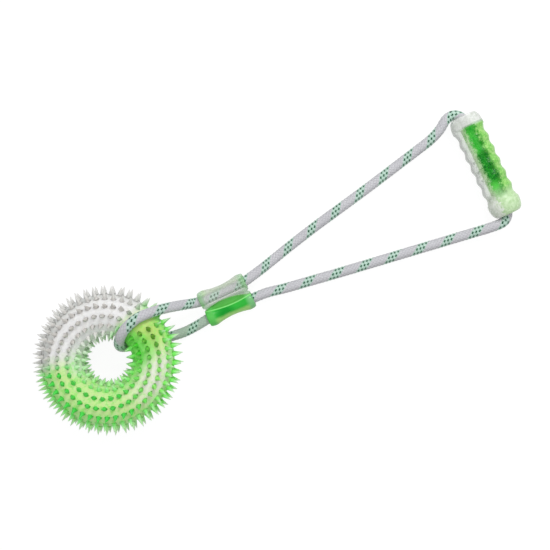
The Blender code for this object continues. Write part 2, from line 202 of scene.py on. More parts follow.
# Where the sleeve's colours set in: past its middle, towards its left, at both edges (painted shade
# along the upper one), and by a crease (painted highlight lines)
SLEEVE_ENDS_FADE = (0.0165, 0.0225)
SLEEVE_LEFT_FADE = (-0.014, -0.021)
SLEEVE_EDGE_FADE = (0.0110, 0.0150)
SLEEVE_LOW_EDGE_FADE = (-0.0115, -0.0155)
CREASE_HIGHLIGHT_FADE = (0.0009, 0.0002)
# The creases beside the lens between the spools, along which highlight lines are painted: (furthest
# place across, where along, curvature)
LOW_CREASE = (-0.0060, 0.006, 4.5)
HIGH_CREASE = (0.0021, -0.004, -8.0)

# The rope's route round the ring, as (angle round the tube, angle round the ring) in degrees
LOOP_TURN = (
    (48, 20.8),
    (70, 24.5),
    (95, 27.5),
    (120, 28.5),
    (145, 26.0),
    (170, 20.0),
    (195, 12.0),
    (220, 5.0),
    (245, 0.0),
    (257, -1.8),
    (269, -3.5),
)
# The strands from the ring to the sleeve, and from the sleeve to the handle
UPPER_RING_STRAND = (
    (-0.0868, 0.0111, 0.0172),
    (-0.0942, 0.0137, 0.0226),
    (-0.1050, 0.0173, 0.0322),
    (-0.1159, 0.0203, 0.0423),
)
LOWER_RING_STRAND = (
    (-0.1266, -0.0078, 0.00525),
    (-0.1096, -0.0108, 0.00525),
    (-0.0941, -0.0108, 0.0073),
)
UPPER_HANDLE_STRAND = (
    (0.2287, 0.0577, 0.0148),
    (0.2194, 0.0520, 0.0131),
    (0.2069, 0.0474, 0.0108),
    (0.1899, 0.0442, 0.0082),
    (0.1709, 0.0410, 0.0060),
    (0.1489, 0.0372, 0.00525),
    (0.1189, 0.0323, 0.00525),
    (0.0889, 0.0277, 0.00525),
    (0.0589, 0.0231, 0.00525),
    (0.0289, 0.0177, 0.00525),
    (0.0069, 0.0133, 0.0061),
    (-0.0091, 0.0101, 0.0094),
    (-0.0211, 0.0081, 0.0130),
)
LOWER_HANDLE_STRAND = (
    (-0.0151, -0.0143, 0.0086),
    (0.0029, -0.0187, 0.0059),
    (0.0289, -0.0241, 0.00525),
    (0.0589, -0.0303, 0.00525),
    (0.0889, -0.0362, 0.00525),
    (0.1189, -0.0420, 0.00525),
    (0.1489, -0.0478, 0.00525),
    (0.1709, -0.0521, 0.0059),
    (0.1889, -0.0555, 0.0079),
    (0.2039, -0.0584, 0.0106),
    (0.2159, -0.0607, 0.0133),
)
HOOK_TURN = (8, 35, 62, 88)
HOOK_DROP = 0.0010

# Sizes that follow
ROPE_SEAT = RING_TUBE_RADIUS + SEAT_GAP + ROPE_RADIUS
FERRULE_RADIUS = ROPE_RADIUS + GAP + FERRULE_WALL
CORE_BORE_RADIUS = FERRULE_RADIUS + GAP
CORE_RADIUS = CORE_BORE_RADIUS + CORE_WALL
GRIP_BORE_RADIUS = CORE_RADIUS + GAP
GRIP_MOUTH_RADIUS = ROPE_RADIUS + 2 * RUNNING_GAP
MOUTH_LIP_CENTRE = GRIP_MOUTH_RADIUS + HANDLE_LIP_RADIUS
SLEEVE_BORE_RADIUS = ROPE_RADIUS + SLEEVE_GAP
SLEEVE_WAIST_RADIUS = SLEEVE_BORE_RADIUS + SLEEVE_WALL
SLEEVE_FLARE_RADIUS = SLEEVE_WAIST_RADIUS + SLEEVE_FLARE
SLEEVE_END_RADIUS = SLEEVE_FLARE_RADIUS - SLEEVE_END_ROUND
SLEEVE_BORE_SPACING = 2 * SLEEVE_FLARE_RADIUS + SLEEVE_SPOOL_SPACE


def joint(name):
    return next(j for j in frame["joints"] if j["name"] == name)


def ring_frame():
    """The ring's centre, with local Z along its axis."""
    spin = joint("ring_spin")
    turn = Vector((0, 0, 1)).rotation_difference(Vector(spin["axis"]))
    return Matrix.Translation(spin["pos_m"]) @ turn.to_matrix().to_4x4()


def handle_frame():
    """The handle's centre, with local Z along it towards its upper end and local Y down."""
    spin = joint("handle_spin")
    yaw = -math.atan2(spin["axis"][0], spin["axis"][1])
    turn = Matrix.Rotation(yaw, 4, "Z") @ Matrix.Rotation(-math.pi / 2, 4, "X")
    return Matrix.Translation(spin["pos_m"]) @ turn


RING_FRAME = ring_frame()
HANDLE_FRAME = handle_frame()
SLEEVE_FRAME = (
    Matrix.Translation(SLEEVE_CENTRE)
    @ Matrix.Rotation(SLEEVE_YAW, 4, "Z")
    @ Matrix.Rotation(SLEEVE_ROLL, 4, "X")
)


def srgb(red, green, blue):
    """A colour as seen, 0 to 255, as the linear colour that a shader takes."""
    shares = np.array([red, green, blue]) / 255
    linear = np.where(shares <= 0.04045, shares / 12.92, ((shares + 0.055) / 1.055) ** 2.4)
    return (*[float(v) for v in linear], 1.0)


def reckoned(operation):
    """A sign's method, which adds the math node that does it."""
    return lambda value, other=0.0: value.nodes.math(operation, value, other)


class Value:
    """What a node gives, which other nodes take as it is or reckoned with."""

    __add__ = reckoned("ADD")
    __sub__ = reckoned("SUBTRACT")
    __mul__ = reckoned("MULTIPLY")
    __truediv__ = reckoned("DIVIDE")
    __mod__ = reckoned("FLOORED_MODULO")
    __abs__ = reckoned("ABSOLUTE")

    def __init__(self, nodes, socket):
        self.nodes = nodes
        self.socket = socket


class Nodes:
    """Short calls for the nodes of a material or a world."""

    def __init__(self, owner):
        owner.use_nodes = True
        self.tree = owner.node_tree

    def feed(self, socket, value):
        if isinstance(value, Value):
            self.tree.links.new(value.socket, socket)
        else:
            socket.default_value = value

    def node(self, kind, values=(), **settings):
        made = self.tree.nodes.new(kind)
        for name, value in settings.items():
            setattr(made, name, value)
        for key, value in dict(values).items():
            self.feed(made.inputs[key], value)
        return made

    def value(self, kind, output, values=(), **settings):
        return Value(self, self.node(kind, values, **settings).outputs[output])

    def math(self, operation, a, b=0.0):
        return self.value("ShaderNodeMath", 0, {0: a, 1: b}, operation=operation)

    def split(self, vector):
        parts = self.node("ShaderNodeSeparateXYZ", {0: vector}).outputs
        return [Value(self, part) for part in parts]


class Shader(Nodes):
    """A material with one Principled shader, and the nodes that feed it."""

    def __init__(self, name):
        self.material = bpy.data.materials.new(name)
        super().__init__(self.material)
        self.principled = self.tree.nodes["Principled BSDF"]

    def set(self, **values):
        """Sets or links the Principled shader's sockets, named with _ for a space."""
        for name, value in values.items():
            self.feed(self.principled.inputs[name.replace("_", " ")], value)

    def fade(self, value, start, end):
        """0 at start and 1 at end, with a smooth step between."""
        values = {"Value": value, "From Min": start, "From Max": end}
        return self.value("ShaderNodeMapRange", "Result", values, interpolation_type="SMOOTHSTEP")

    def between(self, share, a, b):
        """A value between two others."""
        return self.value("ShaderNodeMix", 0, {0: share, 2: a, 3: b}, data_type="FLOAT")

    def mix(self, share, a, b):
        """A colour between two others, each from a node or written as it is seen, 0 to 255."""
        a, b = (srgb(*colour) if isinstance(colour, tuple) else colour for colour in (a, b))
        return self.value("ShaderNodeMix", 2, {0: share, 6: a, 7: b}, data_type="RGBA")

    def noise(self, point, scale, detail=2.0, roughness=0.5):
        values = {"Vector": point, "Scale": scale, "Detail": detail, "Roughness": roughness}
        return self.value("ShaderNodeTexNoise", "Fac", values)

    def place(self):
        """The point in the piece's own frame, and its three coordinates."""
        point = self.value("ShaderNodeTexCoord", "Object")
        return point, *self.split(point)

    def length(self, a, b):
        return self.math("SQRT", a * a + b * b)

    def patch(self, point, middle, edge, core):
        """A round patch: 0 at its edge's distance from the middle, and 1 within its core's."""
        ends = {0: point, 1: middle}
        distance = self.value("ShaderNodeVectorMath", "Value", ends, operation="DISTANCE")
        return self.fade(distance, edge, core)

    def bump(self, height, distance, strength):
        values = {"Height": height, "Distance": distance, "Strength": strength}
        return self.value("ShaderNodeBump", "Normal", values)


def new_object(name, mesh, place, material, body, replaced):
    """Adds a piece, which rides on a body and stands for the node that it replaces."""
    obj = placed(name, mesh, place)
    mesh.materials.append(material)
    mesh.shade_smooth()
    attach(obj, body)
    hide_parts(replaced)
    return obj


def placed(name, mesh, place):
    obj = bpy.data.objects.new(name, mesh)
    bpy.context.scene.collection.objects.link(obj)
    obj.matrix_world = place
    return obj


def turned_mesh(name, profile, sides, closed=True):
    """A body turned about Z from (radius, height) points, from the top down on its outer side."""
    vertices = []
    for k in range(sides):
        angle = math.tau * k / sides
        vertices += [(r * math.cos(angle), r * math.sin(angle), z) for r, z in profile]
    count = len(profile)
    last = count if closed else count - 1
    faces = []
    for k in range(sides):
        near = k * count
        far = (k + 1) % sides * count
        for i in range(last):
            j = (i + 1) % count
            faces.append((near + i, near + j, far + j, far + i))
    mesh = bpy.data.meshes.new(name)
    mesh.from_pydata(vertices, [], faces)
    mesh.validate()
    bm = bmesh.new()
    bm.from_mesh(mesh)
    bmesh.ops.remove_doubles(bm, verts=bm.verts, dist=WELD)
    bmesh.ops.dissolve_degenerate(bm, edges=bm.edges, dist=SLIVER)
    bmesh.ops.recalc_face_normals(bm, faces=bm.faces)
    bm.to_mesh(mesh)
    bm.free()
    return mesh


def arc(centre, radius, start, end, steps):
    angles = np.linspace(start, end, steps + 1)
    return [(centre[0] + radius * math.cos(a), centre[1] + radius * math.sin(a)) for a in angles]


def end_round(inner, outer, start, depth, steps):
    """A quarter of an ellipse, from the end's top at the inner radius down to the outer one."""
    angles = np.linspace(0, math.pi / 2, steps + 1)
    return [(inner + (outer - inner) * math.sin(a), start + depth * math.cos(a)) for a in angles]


def mirrored(profile):
    return [(radius, -height) for radius, height in reversed(profile)]


# The rope's route, as the frame's solid follows it


def at_time(t, p, q, start, end):
    """The point at time t on a line that passes p at the start and q at the end."""
    return p * (end - t) / (end - start) + q * (t - start) / (end - start)


def smooth_curve(points):
    """A centripetal Catmull-Rom curve through the route's points."""
    points = np.array(points, float)
    points = np.vstack([2 * points[0] - points[1], points, 2 * points[-1] - points[-2]])
    dense = []
    for i in range(1, len(points) - 2):
        near = points[i - 1 : i + 3]
        times = [0.0]
        for p, q in zip(near, near[1:]):
            times.append(times[-1] + math.sqrt(np.linalg.norm(q - p)))
        for t in np.linspace(times[1], times[2], ROPE_CURVE_SAMPLES, endpoint=False):
            a = [at_time(t, near[k], near[k + 1], times[k], times[k + 1]) for k in range(3)]
            b = [at_time(t, a[k], a[k + 1], times[k], times[k + 2]) for k in range(2)]
            dense.append(at_time(t, *b, times[1], times[2]))
    dense.append(points[-2])
    return np.array(dense)


def torus_point(tube_angle, ring_angle, distance):
    """A point at a distance from the centre of the ring's tube, in the ring's own frame."""
    radius = RING_MAJOR_RADIUS + distance * math.cos(tube_angle)
    height = distance * math.sin(tube_angle)
    return Vector((radius * math.cos(ring_angle), radius * math.sin(ring_angle), height))


def hook_points(side):
    """Where the rope turns round a lip of the handle; side is 1 for the top one, else -1."""
    reach = HANDLE_LIP_RADIUS + RUNNING_GAP + ROPE_RADIUS
    points = []
    for degrees in HOOK_TURN:
        angle = math.radians(degrees)
        off_axis = reach * math.cos(angle) - MOUTH_LIP_CENTRE
        drop = HOOK_DROP * math.sin(angle)
        along = side * (HANDLE_LENGTH / 2 - HANDLE_LIP_RADIUS + reach * math.sin(angle))
        points.append(HANDLE_FRAME @ Vector((off_axis, drop, along)))
    return points


def bore_point(row, along):
    """A point on the axis of one of the sleeve's bores; row is 1 for the upper bore, else -1."""
    return SLEEVE_FRAME @ Vector((along, row * SLEEVE_BORE_SPACING / 2, 0))


def rope_route():
    """The route's points: out of the handle's top, round the ring and back in at its bottom."""
    mouth = SLEEVE_LENGTH / 2 - SLEEVE_MOUTH_DEPTH / 3
    inner = SLEEVE_FLARE_AT / 2
    along_bore = (mouth, inner, -inner, -mouth)
    inside = (ROPE_END_SPACE / 2, HANDLE_LENGTH / 4, CORE_LENGTH / 2)
    route = [HANDLE_FRAME @ Vector((0, 0, along)) for along in inside]
    route += hook_points(1)
    route += [Vector(p) for p in UPPER_HANDLE_STRAND]
    route += [bore_point(1, along) for along in along_bore]
    route += [Vector(p) for p in UPPER_RING_STRAND]
    for tube, ring in LOOP_TURN:
        route.append(RING_FRAME @ torus_point(math.radians(tube), math.radians(ring), ROPE_SEAT))
    route += [Vector(p) for p in LOWER_RING_STRAND]
    route += [bore_point(-1, -along) for along in along_bore]
    route += [Vector(p) for p in LOWER_HANDLE_STRAND]
    route += hook_points(-1)[::-1]
    route += [HANDLE_FRAME @ Vector((0, 0, -along)) for along in reversed(inside)]
    return [tuple(p) for p in route]


def evenly(points, step):
    """The curve's points again, a whole number of about equal steps apart."""
    lengths = np.linalg.norm(np.diff(points, axis=0), axis=1)
    travelled = np.concatenate([[0.0], np.cumsum(lengths)])
    wanted = np.linspace(0, travelled[-1], round(travelled[-1] / step) + 1)
    return np.stack([np.interp(wanted, travelled, points[:, i]) for i in range(3)], axis=1), wanted


def sides_along(path):
    """Two directions square to the path at each point, carried along it without twist."""
    headings = np.gradient(path, axis=0)
    headings /= np.linalg.norm(headings, axis=1)[:, None]
    up = Vector((0, 0, 1))
    first = []
    second = []
    for heading in headings:
        heading = Vector(heading)
        up = (up - heading * up.dot(heading)).normalized()
        first.append(up)
        second.append(heading.cross(up))
    return np.array(first), np.array(second)


def roll_of(first, second, along):
    """Turns from the carried direction to the rope's top, which change once, round the ring."""
    top = np.arctan2(second[:, 2], first[:, 2]) / math.tau
    ends = [top[np.searchsorted(along, at)] for at in ROLL_SPAN]
    return np.interp(along, ROLL_SPAN, ends)


def braid_height(turns, around):
    """How far the braid's surface, the higher of its two families of strands, stands out."""
    a = BRAID_STRANDS * (around + turns)
    b = BRAID_STRANDS * (around - turns)
    over = np.cos(math.pi * np.floor(a))
    under = np.cos(math.pi * np.floor(b))
    crown_a = np.sqrt(np.maximum(0, 1 - (2 * (a % 1) - 1) ** 2))
    crown_b = np.sqrt(np.maximum(0, 1 - (2 * (b % 1) - 1) ** 2))
    height_a = BRAID_CROWN * crown_a + BRAID_WEAVE * over * np.cos(math.pi * (b - 0.5))
    height_b = BRAID_CROWN * crown_b - BRAID_WEAVE * under * np.cos(math.pi * (a - 0.5))
    return np.maximum(height_a, height_b)


def rope_material():
    shader = Shader("rope_braid")
    uv = shader.value("ShaderNodeUVMap", "UV", uv_map="braid")
    turns, around, _ = shader.split(uv)
    a = (around + turns) * BRAID_STRANDS
    b = (around - turns) * BRAID_STRANDS
    whole_a = shader.math("FLOOR", a)
    whole_b = shader.math("FLOOR", b)
    off_a = abs(shader.math("FRACT", a) - 0.5)
    off_b = abs(shader.math("FRACT", b) - 0.5)
    over = shader.math("LESS_THAN", (whole_a + whole_b) % 2.0, 0.5)
    tracer = shader.math("LESS_THAN", whole_a % BRAID_STRANDS, TRACER_STRANDS - 0.5)

    # Each strand is a flat bundle of fine yarns
    yarn_a = shader.math("SINE", a * (math.tau * BRAID_YARNS))
    yarn_b = shader.math("SINE", b * (math.tau * BRAID_YARNS))
    yarns = shader.between(over, yarn_b, yarn_a)
    point = shader.place()[0]
    fibre = shader.noise(point, 900.0, 3.0)

    lilac = shader.mix(shader.noise(point, 60.0), (208, 208, 212), (223, 224, 227))
    # Painted shade in the grooves between the yarns
    lilac = shader.mix(shader.fade(yarns, 0.3, -1.0), lilac, (184, 183, 190))
    # Painted green bounce light from the ring, darker, on the lower strand
    lilac = shader.mix(shader.patch(point, *RING_BOUNCE_PATCH), lilac, (182, 201, 186))
    mint = shader.mix(over, (194, 222, 208), (164, 212, 186))
    colour = shader.mix(tracer, lilac, mint)
    dash = tracer * over * shader.fade(off_a, *DASH_WIDTH_FADE)
    dash = dash * shader.fade(off_b, *DASH_LENGTH_FADE)
    colour = shader.mix(dash, colour, shader.mix(fibre, (2, 40, 26), (12, 80, 50)))
    # Painted shade in the grooves along the edges of each braid cell
    edge = shader.fade(shader.math("MAXIMUM", off_a, off_b), 0.36, 0.5)
    colour = shader.mix(edge, colour, shader.mix(0.26, colour, (96, 90, 108)))
    shader.set(
        Base_Color=colour,
        Roughness=fibre * 0.25 + 0.62,
        Normal=shader.bump(yarns * 0.5 + fibre, 0.0002, 0.6),
        Sheen_Weight=0.25,
        Sheen_Roughness=0.5,
    )
    return shader.material


def braid_mesh(path, along):
    """The rope's surface. Its UVs are the braid's turns so far and the place around the rope."""
    first, second = sides_along(path)
    turns = np.interp(along, *np.transpose(BRAID_CROSSINGS)) + 1 / BRAID_STRANDS
    sides = np.arange(ROPE_SIDES) / ROPE_SIDES
    around = sides + 0.5 / BRAID_STRANDS - roll_of(first, second, along)[:, None]
    middle = ROPE_RADIUS - BRAID_CROWN - BRAID_WEAVE
    radii = middle + braid_height(turns[:, None], around)
    cosines = np.cos(math.tau * sides)
    sines = np.sin(math.tau * sides)
    rings = path[:, None, :] + radii[:, :, None] * (
        cosines[None, :, None] * first[:, None, :] + sines[None, :, None] * second[:, None, :]
    )
    vertices = rings.reshape(-1, 3).tolist() + [path[0].tolist(), path[-1].tolist()]
    faces = []
    corners = []
    for i in range(len(path) - 1):
        for k in range(ROPE_SIDES):
            j = (k + 1) % ROPE_SIDES
            near = i * ROPE_SIDES
            far = near + ROPE_SIDES
            faces.append((near + k, near + j, far + j, far + k))
            corners += [
                (turns[i], around[i, k]),
                (turns[i], around[i, k] + 1 / ROPE_SIDES),
                (turns[i + 1], around[i + 1, k] + 1 / ROPE_SIDES),
                (turns[i + 1], around[i + 1, k]),
            ]
    end = (len(path) - 1) * ROPE_SIDES
    for k in range(ROPE_SIDES):
        j = (k + 1) % ROPE_SIDES
        faces.append((j, k, len(vertices) - 2))
        faces.append((end + k, end + j, len(vertices) - 1))
        corners += [(turns[0], around[0, k])] * 3 + [(turns[-1], around[-1, k])] * 3
    mesh = bpy.data.meshes.new("rope_braid")
    mesh.from_pydata(vertices, [], faces)
    layer = mesh.uv_layers.new(name="braid")
    layer.uv.foreach_set("vector", np.array(corners, np.float32).ravel())
    return mesh


def make_rope():
    """Adds the rope and gives the points of its route, which the ring's spikes make room for."""
    path, along = evenly(smooth_curve(rope_route()), ROPE_STEP)
    mesh = braid_mesh(path, along)
    place = Matrix.Identity(4)
    rope = new_object("rope_braid", mesh, place, rope_material(), "rope", "rope")
    return path


# Ring


def spike_length(angle):
    """The length at an angle round the tube: longest outside, shortest in the hole."""
    share = (1 + math.cos(angle)) / 2
    return SPIKE_INNER_LENGTH + (SPIKE_OUTER_LENGTH - SPIKE_INNER_LENGTH) * share


def under_rope(tube_angle, ring_angle, rope_points):
    """Whether the rope presses the spike at this place flat."""
    length = spike_length(tube_angle)
    for share in np.linspace(0, 1, SPIKE_CHECKS):
        point = np.array(torus_point(tube_angle, ring_angle, RING_TUBE_RADIUS + share * length))
        room = ROPE_RADIUS + SEAT_GAP + SPIKE_BASE_RADIUS * (1 - share)
        if np.linalg.norm(rope_points - point, axis=1).min() < room:
            return True
    return False


def spike_places(rope_points, side):
    """One half's spikes, as (tube angle, ring angle), row by row from the outside in."""
    row_step = math.pi / SPIKE_ROWS_PER_HALF
    places = []
    for row in range(SPIKE_ROWS_PER_HALF):
        tube_angle = row_step * (row + 0.5)
        girth = math.tau * (RING_MAJOR_RADIUS + RING_TUBE_RADIUS * math.cos(tube_angle))
        count = round(girth / SPIKE_PITCH)
        for k in range(count):
            ring_angle = math.tau * k / count
            if not under_rope(side * tube_angle, ring_angle, rope_points):
                places.append((tube_angle, ring_angle))
    return places


def seam_angle(tube_angle):
    """Where the skin's sheet is cut open: half a spike's pitch before each row's first spike."""
    return -SPIKE_PITCH / 2 / (RING_MAJOR_RADIUS + RING_TUBE_RADIUS * math.cos(tube_angle))


def sheet_points(places):
    """The outer skin laid flat, as (angle past the seam, tube angle), with the root rings first."""
    reach = SPIKE_BASE_RADIUS * SPIKE_FLARE
    points = []
    for tube_angle, ring_angle in places:
        radius = RING_MAJOR_RADIUS + RING_TUBE_RADIUS * math.cos(tube_angle)
        for k in range(SPIKE_SIDES):
            turn = math.tau * k / SPIKE_SIDES
            tube = tube_angle + reach * math.sin(turn) / RING_TUBE_RADIUS
            ring = ring_angle + reach * math.cos(turn) / radius
            points.append(((ring - seam_angle(tube)) % math.tau, tube))
    centres = np.array([((ring - seam_angle(tube)) % math.tau, tube) for tube, ring in places])
    rows = round(math.pi * RING_TUBE_RADIUS / RING_FILL_STEP)
    for row in range(rows + 1):
        tube = math.pi * row / rows
        radius = RING_MAJOR_RADIUS + RING_TUBE_RADIUS * math.cos(tube)
        on_edge = row in (0, rows)
        columns = RING_COLUMNS if on_edge else round(math.tau * radius / RING_FILL_STEP)
        for k in range(columns + 1):
            past = math.tau * k / columns
            if not on_edge and 0 < k < columns:
                past += math.pi / columns * (row % 2)
                if past >= math.tau:
                    continue
            off_ring = (centres[:, 0] - past) * radius
            off_tube = (centres[:, 1] - tube) * RING_TUBE_RADIUS
            if on_edge or np.hypot(off_ring, off_tube).min() > RING_FILL_SPACE * reach:
                points.append((past, tube))
    return points


def ring_skin(side, rope_points, random):
    """One half of the ring, closed: outer skin with its spikes, cavity, and the flat joint."""
    places = spike_places(rope_points, side)
    points = sheet_points(places)
    roots = len(places) * SPIKE_SIDES
    flat = [Vector((past * RING_MAJOR_RADIUS, tube * RING_TUBE_RADIUS)) for past, tube in points]
    rims = [
        (s * SPIKE_SIDES + k, s * SPIKE_SIDES + (k + 1) % SPIKE_SIDES)
        for s in range(len(places))
        for k in range(SPIKE_SIDES)
    ]
    _, _, triangles, origins, _, _ = delaunay_2d_cdt(flat, rims, [], 0, SHEET_TOLERANCE)
    number = [ids[0] for ids in origins]
    vertices = []
    bm = bmesh.new()
    for past, tube in points:
        local = torus_point(tube, past + seam_angle(tube), RING_TUBE_RADIUS)
        vertices.append(bm.verts.new(local))
    for triangle in triangles:
        corners = [number[i] for i in triangle]
        spikes = {c // SPIKE_SIDES if c < roots else -1 for c in corners}
        if len(spikes) == 1 and -1 not in spikes:
            continue
        bm.faces.new([vertices[c] for c in corners])
    for s, place in enumerate(places):
        add_spike(bm, vertices[s * SPIKE_SIDES : (s + 1) * SPIKE_SIDES], *place, random)
    add_cavity(bm)
    bmesh.ops.remove_doubles(bm, verts=bm.verts, dist=2 * WELD)
    for vertex in bm.verts:
        vertex.co.z = side * (vertex.co.z + GAP / 2)
    bmesh.ops.recalc_face_normals(bm, faces=bm.faces)
    mesh = bpy.data.meshes.new("ring_skin")
    bm.to_mesh(mesh)
    bm.free()
    return mesh


def bridge(bm, near, far):
    """Faces between two rings of vertices."""
    for k in range(len(near)):
        j = (k + 1) % len(near)
        bm.faces.new((near[k], near[j], far[j], far[k]))


def add_spike(bm, root, tube_angle, ring_angle, random):
    """Rings of a slightly hollow cone from the root ring to a small rounded tip."""
    out = torus_point(tube_angle, ring_angle, 1.0) - torus_point(tube_angle, ring_angle, 0.0)
    along = Vector((-math.sin(ring_angle), math.cos(ring_angle), 0))
    across = out.cross(along) * -1
    centre = torus_point(tube_angle, ring_angle, RING_TUBE_RADIUS)
    lean = along * random.normal(0, SPIKE_LEAN) + across * random.normal(0, SPIKE_LEAN)
    length = spike_length(tube_angle) * (1 + random.uniform(*SPIKE_LENGTH_SPREAD))
    below = root
    for share, width in SPIKE_OUTLINE:
        middle = centre + (out + lean * share) * (length * share)
        radius = SPIKE_BASE_RADIUS * width
        ring = []
        for k in range(SPIKE_SIDES):
            turn = math.tau * k / SPIKE_SIDES
            outward = along * math.cos(turn) + across * math.sin(turn)
            ring.append(bm.verts.new(middle + outward * radius))
        bridge(bm, below, ring)
        below = ring
    tip = bm.verts.new(centre + (out + lean) * length)
    for k in range(SPIKE_SIDES):
        bm.faces.new((below[k], below[(k + 1) % SPIKE_SIDES], tip))


def wall_ring(bm, tube_angle, distance):
    """Vertices all round the ring, at one angle and distance from the tube's centre."""
    start = seam_angle(tube_angle)
    angles = [math.tau * k / RING_COLUMNS + start for k in range(RING_COLUMNS)]
    return [bm.verts.new(torus_point(tube_angle, angle, distance)) for angle in angles]


def add_cavity(bm):
    """The cavity's wall, and the two flat rings where the halves meet."""
    inner = RING_TUBE_RADIUS - RING_WALL
    rows = range(RING_CAVITY_ROWS + 1)
    grid = [wall_ring(bm, math.pi * row / RING_CAVITY_ROWS, inner) for row in rows]
    edges = [wall_ring(bm, tube_angle, RING_TUBE_RADIUS) for tube_angle in (0.0, math.pi)]
    for near, far in list(zip(grid, grid[1:])) + [(edges[0], grid[0]), (grid[-1], edges[1])]:
        bridge(bm, near, far)


def ring_material():
    """Clear rubber on the +Y side that turns green across the middle. Light and shade are painted:
    palest where it faces the light, greyer on the clear sides and deeper green on the green ones.
    """
    shader = Shader("ring_rubber")
    point, x, y, z = shader.place()
    # How the point lies to the tube's centre, how far the tube faces the painted light there, and
    # its kinds of skin
    girth = shader.length(x, y)
    radial = girth - RING_MAJOR_RADIUS
    rise = abs(z) - GAP / 2
    reach = shader.length(radial, rise)
    off_tube = reach - RING_TUBE_RADIUS
    ahead = x / girth * RING_LIGHT_FACING[0]
    light_facing = (rise * RING_LIGHT_FACING[1] + radial * ahead) / reach
    tilt = rise / reach
    # Spikes that stand sideways: painted greyer as shade on the clear rubber, and paler as light on
    # the green
    side = shader.fade(tilt, 0.95, 0.42)
    right = shader.fade(x, -0.010, 0.045)
    inner = shader.fade(radial, -0.002, -0.012)
    spike = shader.fade(off_tube, 0.00003, 0.00018)
    # The sideways spikes' tips, painted paler as light that shines through them
    tip = shader.fade(tilt, 0.90, 0.50) * shader.fade(off_tube, 0.0020, 0.0080)
    soft = shader.noise(point, 45.0)
    mottle = shader.fade(shader.noise(point, 210.0, 2.0, 0.6), 0.46, 0.66) * 0.55
    slant = shader.math("MAXIMUM", x - GREEN_SLANT_FROM, 0.0) * GREEN_SLANT
    green = shader.fade(y - slant + soft * GREEN_EDGE_SWAY, *GREEN_EDGE)

    # The clear rubber, with painted light and shade: grey on the tube's outer side, pale in the
    # hole, palest facing the light
    clear_shaded_side = shader.mix(inner, (217, 219, 216), (253, 254, 251))
    clear_wall = shader.mix(shader.fade(light_facing, 0.45, 0.90), clear_shaded_side, (255, 254, 252))
    clear_wall = shader.mix(mottle, clear_wall, (232, 230, 226))
    clear_spike = shader.mix(inner, (214, 214, 211), (236, 237, 234))
    clear_spike = shader.mix(side, (202, 199, 195), clear_spike)
    clear_spike = shader.mix(tip, clear_spike, (230, 229, 226))
    clear = shader.mix(spike, clear_wall, clear_spike)

    # The green rubber, with painted light and shade: deeper green on the sides, pale facing the
    # light
    cream = shader.patch(point, *CREAM_PATCH)
    olive = shader.patch(point, *OLIVE_PATCH)
    mint = shader.patch(point, *MINT_PATCH)
    deep = shader.patch(point, *DEEP_PATCH)
    pale = shader.mix(cream, (216, 255, 172), (250, 255, 234))
    pale = shader.mix(olive, pale, (202, 231, 136))
    green_shaded_side = shader.mix(right, (196, 255, 164), (146, 252, 116))
    green_wall = shader.mix(shader.fade(light_facing, 0.50, 0.95), green_shaded_side, pale)
    green_wall = shader.mix(mint, green_wall, (222, 250, 214))
    green_wall = shader.mix(deep, green_wall, (114, 222, 90))
    mottled = shader.mix(cream, (140, 246, 108), (198, 244, 168))
    green_wall = shader.mix(mottle, green_wall, mottled)
    dot = shader.mix(cream, (86, 212, 90), (150, 228, 118))
    dot = shader.mix(olive, dot, (112, 158, 60))
    dot = shader.mix(deep, dot, (82, 200, 60))
    green_spike = shader.mix(side, dot, shader.mix(right, (186, 250, 168), (142, 240, 120)))
    green_spike = shader.mix(mint, green_spike, (196, 238, 188))
    green_spike = shader.mix(tip, green_spike, (204, 242, 196))
    shader.set(
        Base_Color=shader.mix(green, clear, shader.mix(spike, green_wall, green_spike)),
        Roughness=soft * 0.16 + 0.26,
        Normal=shader.bump(shader.noise(point, 700.0), 0.00008, 0.5),
        Subsurface_Weight=1.0,
        Subsurface_Radius=(1.0, 1.0, 1.0),
        Subsurface_Scale=0.003,
        IOR=1.15,
    )
    return shader.material


def make_ring(rope_path):
    inverse = np.array(RING_FRAME.inverted())
    rope_points = rope_path @ inverse[:3, :3].T + inverse[:3, 3]
    random = np.random.default_rng(SPIKE_SEED)
    material = ring_material()
    halves = (
        ("ring_upper_skin", 1, "ring_clear_rubber", "ring_upper_shell"),
        ("ring_lower_skin", -1, "ring_green_rubber", "ring_lower_shell"),
    )
    for name, side, slot, node in halves:
        mesh = ring_skin(side, rope_points, random)
        mesh.name = name
        new_object(name, mesh, RING_FRAME, material, "ring", node)


# Handle


def grip_profile():
    """The grip's section: ripples between two flanges, and rounded lips at its open ends."""
    half = HANDLE_LENGTH / 2
    flange_at = half - HANDLE_END_DEPTH
    ends = (MOUTH_LIP_CENTRE, HANDLE_FLANGE_RADIUS)
    top_round = end_round(*ends, flange_at, HANDLE_END_DEPTH, HANDLE_ROUND_STEPS)
    lip_centre = (MOUTH_LIP_CENTRE, half - HANDLE_LIP_RADIUS)
    top_lip = arc(lip_centre, HANDLE_LIP_RADIUS, math.pi, math.pi / 2, HANDLE_LIP_STEPS)
    ripple_span = 2 * (flange_at - HANDLE_FLANGE_LAND)
    count = HANDLE_RIPPLES * RIPPLE_POINTS
    ripples = [(HANDLE_FLANGE_RADIUS, flange_at - HANDLE_FLANGE_LAND)]
    for i in range(1, count):
        height = ripple_span * (0.5 - i / count)
        wave = math.cos(math.tau * i / RIPPLE_POINTS)
        ripples.append((HANDLE_BODY_RADIUS + HANDLE_RIPPLE * wave, height))
    ripples.append((HANDLE_FLANGE_RADIUS, HANDLE_FLANGE_LAND - flange_at))
    core_half = CORE_LENGTH / 2 + GAP
    bore = [
        (GRIP_MOUTH_RADIUS, -core_half),
        (GRIP_BORE_RADIUS, -core_half),
        (GRIP_BORE_RADIUS, core_half),
        (GRIP_MOUTH_RADIUS, core_half),
    ]
    return top_round + ripples + mirrored(top_round) + mirrored(top_lip)[1:] + bore + top_lip[:-1]


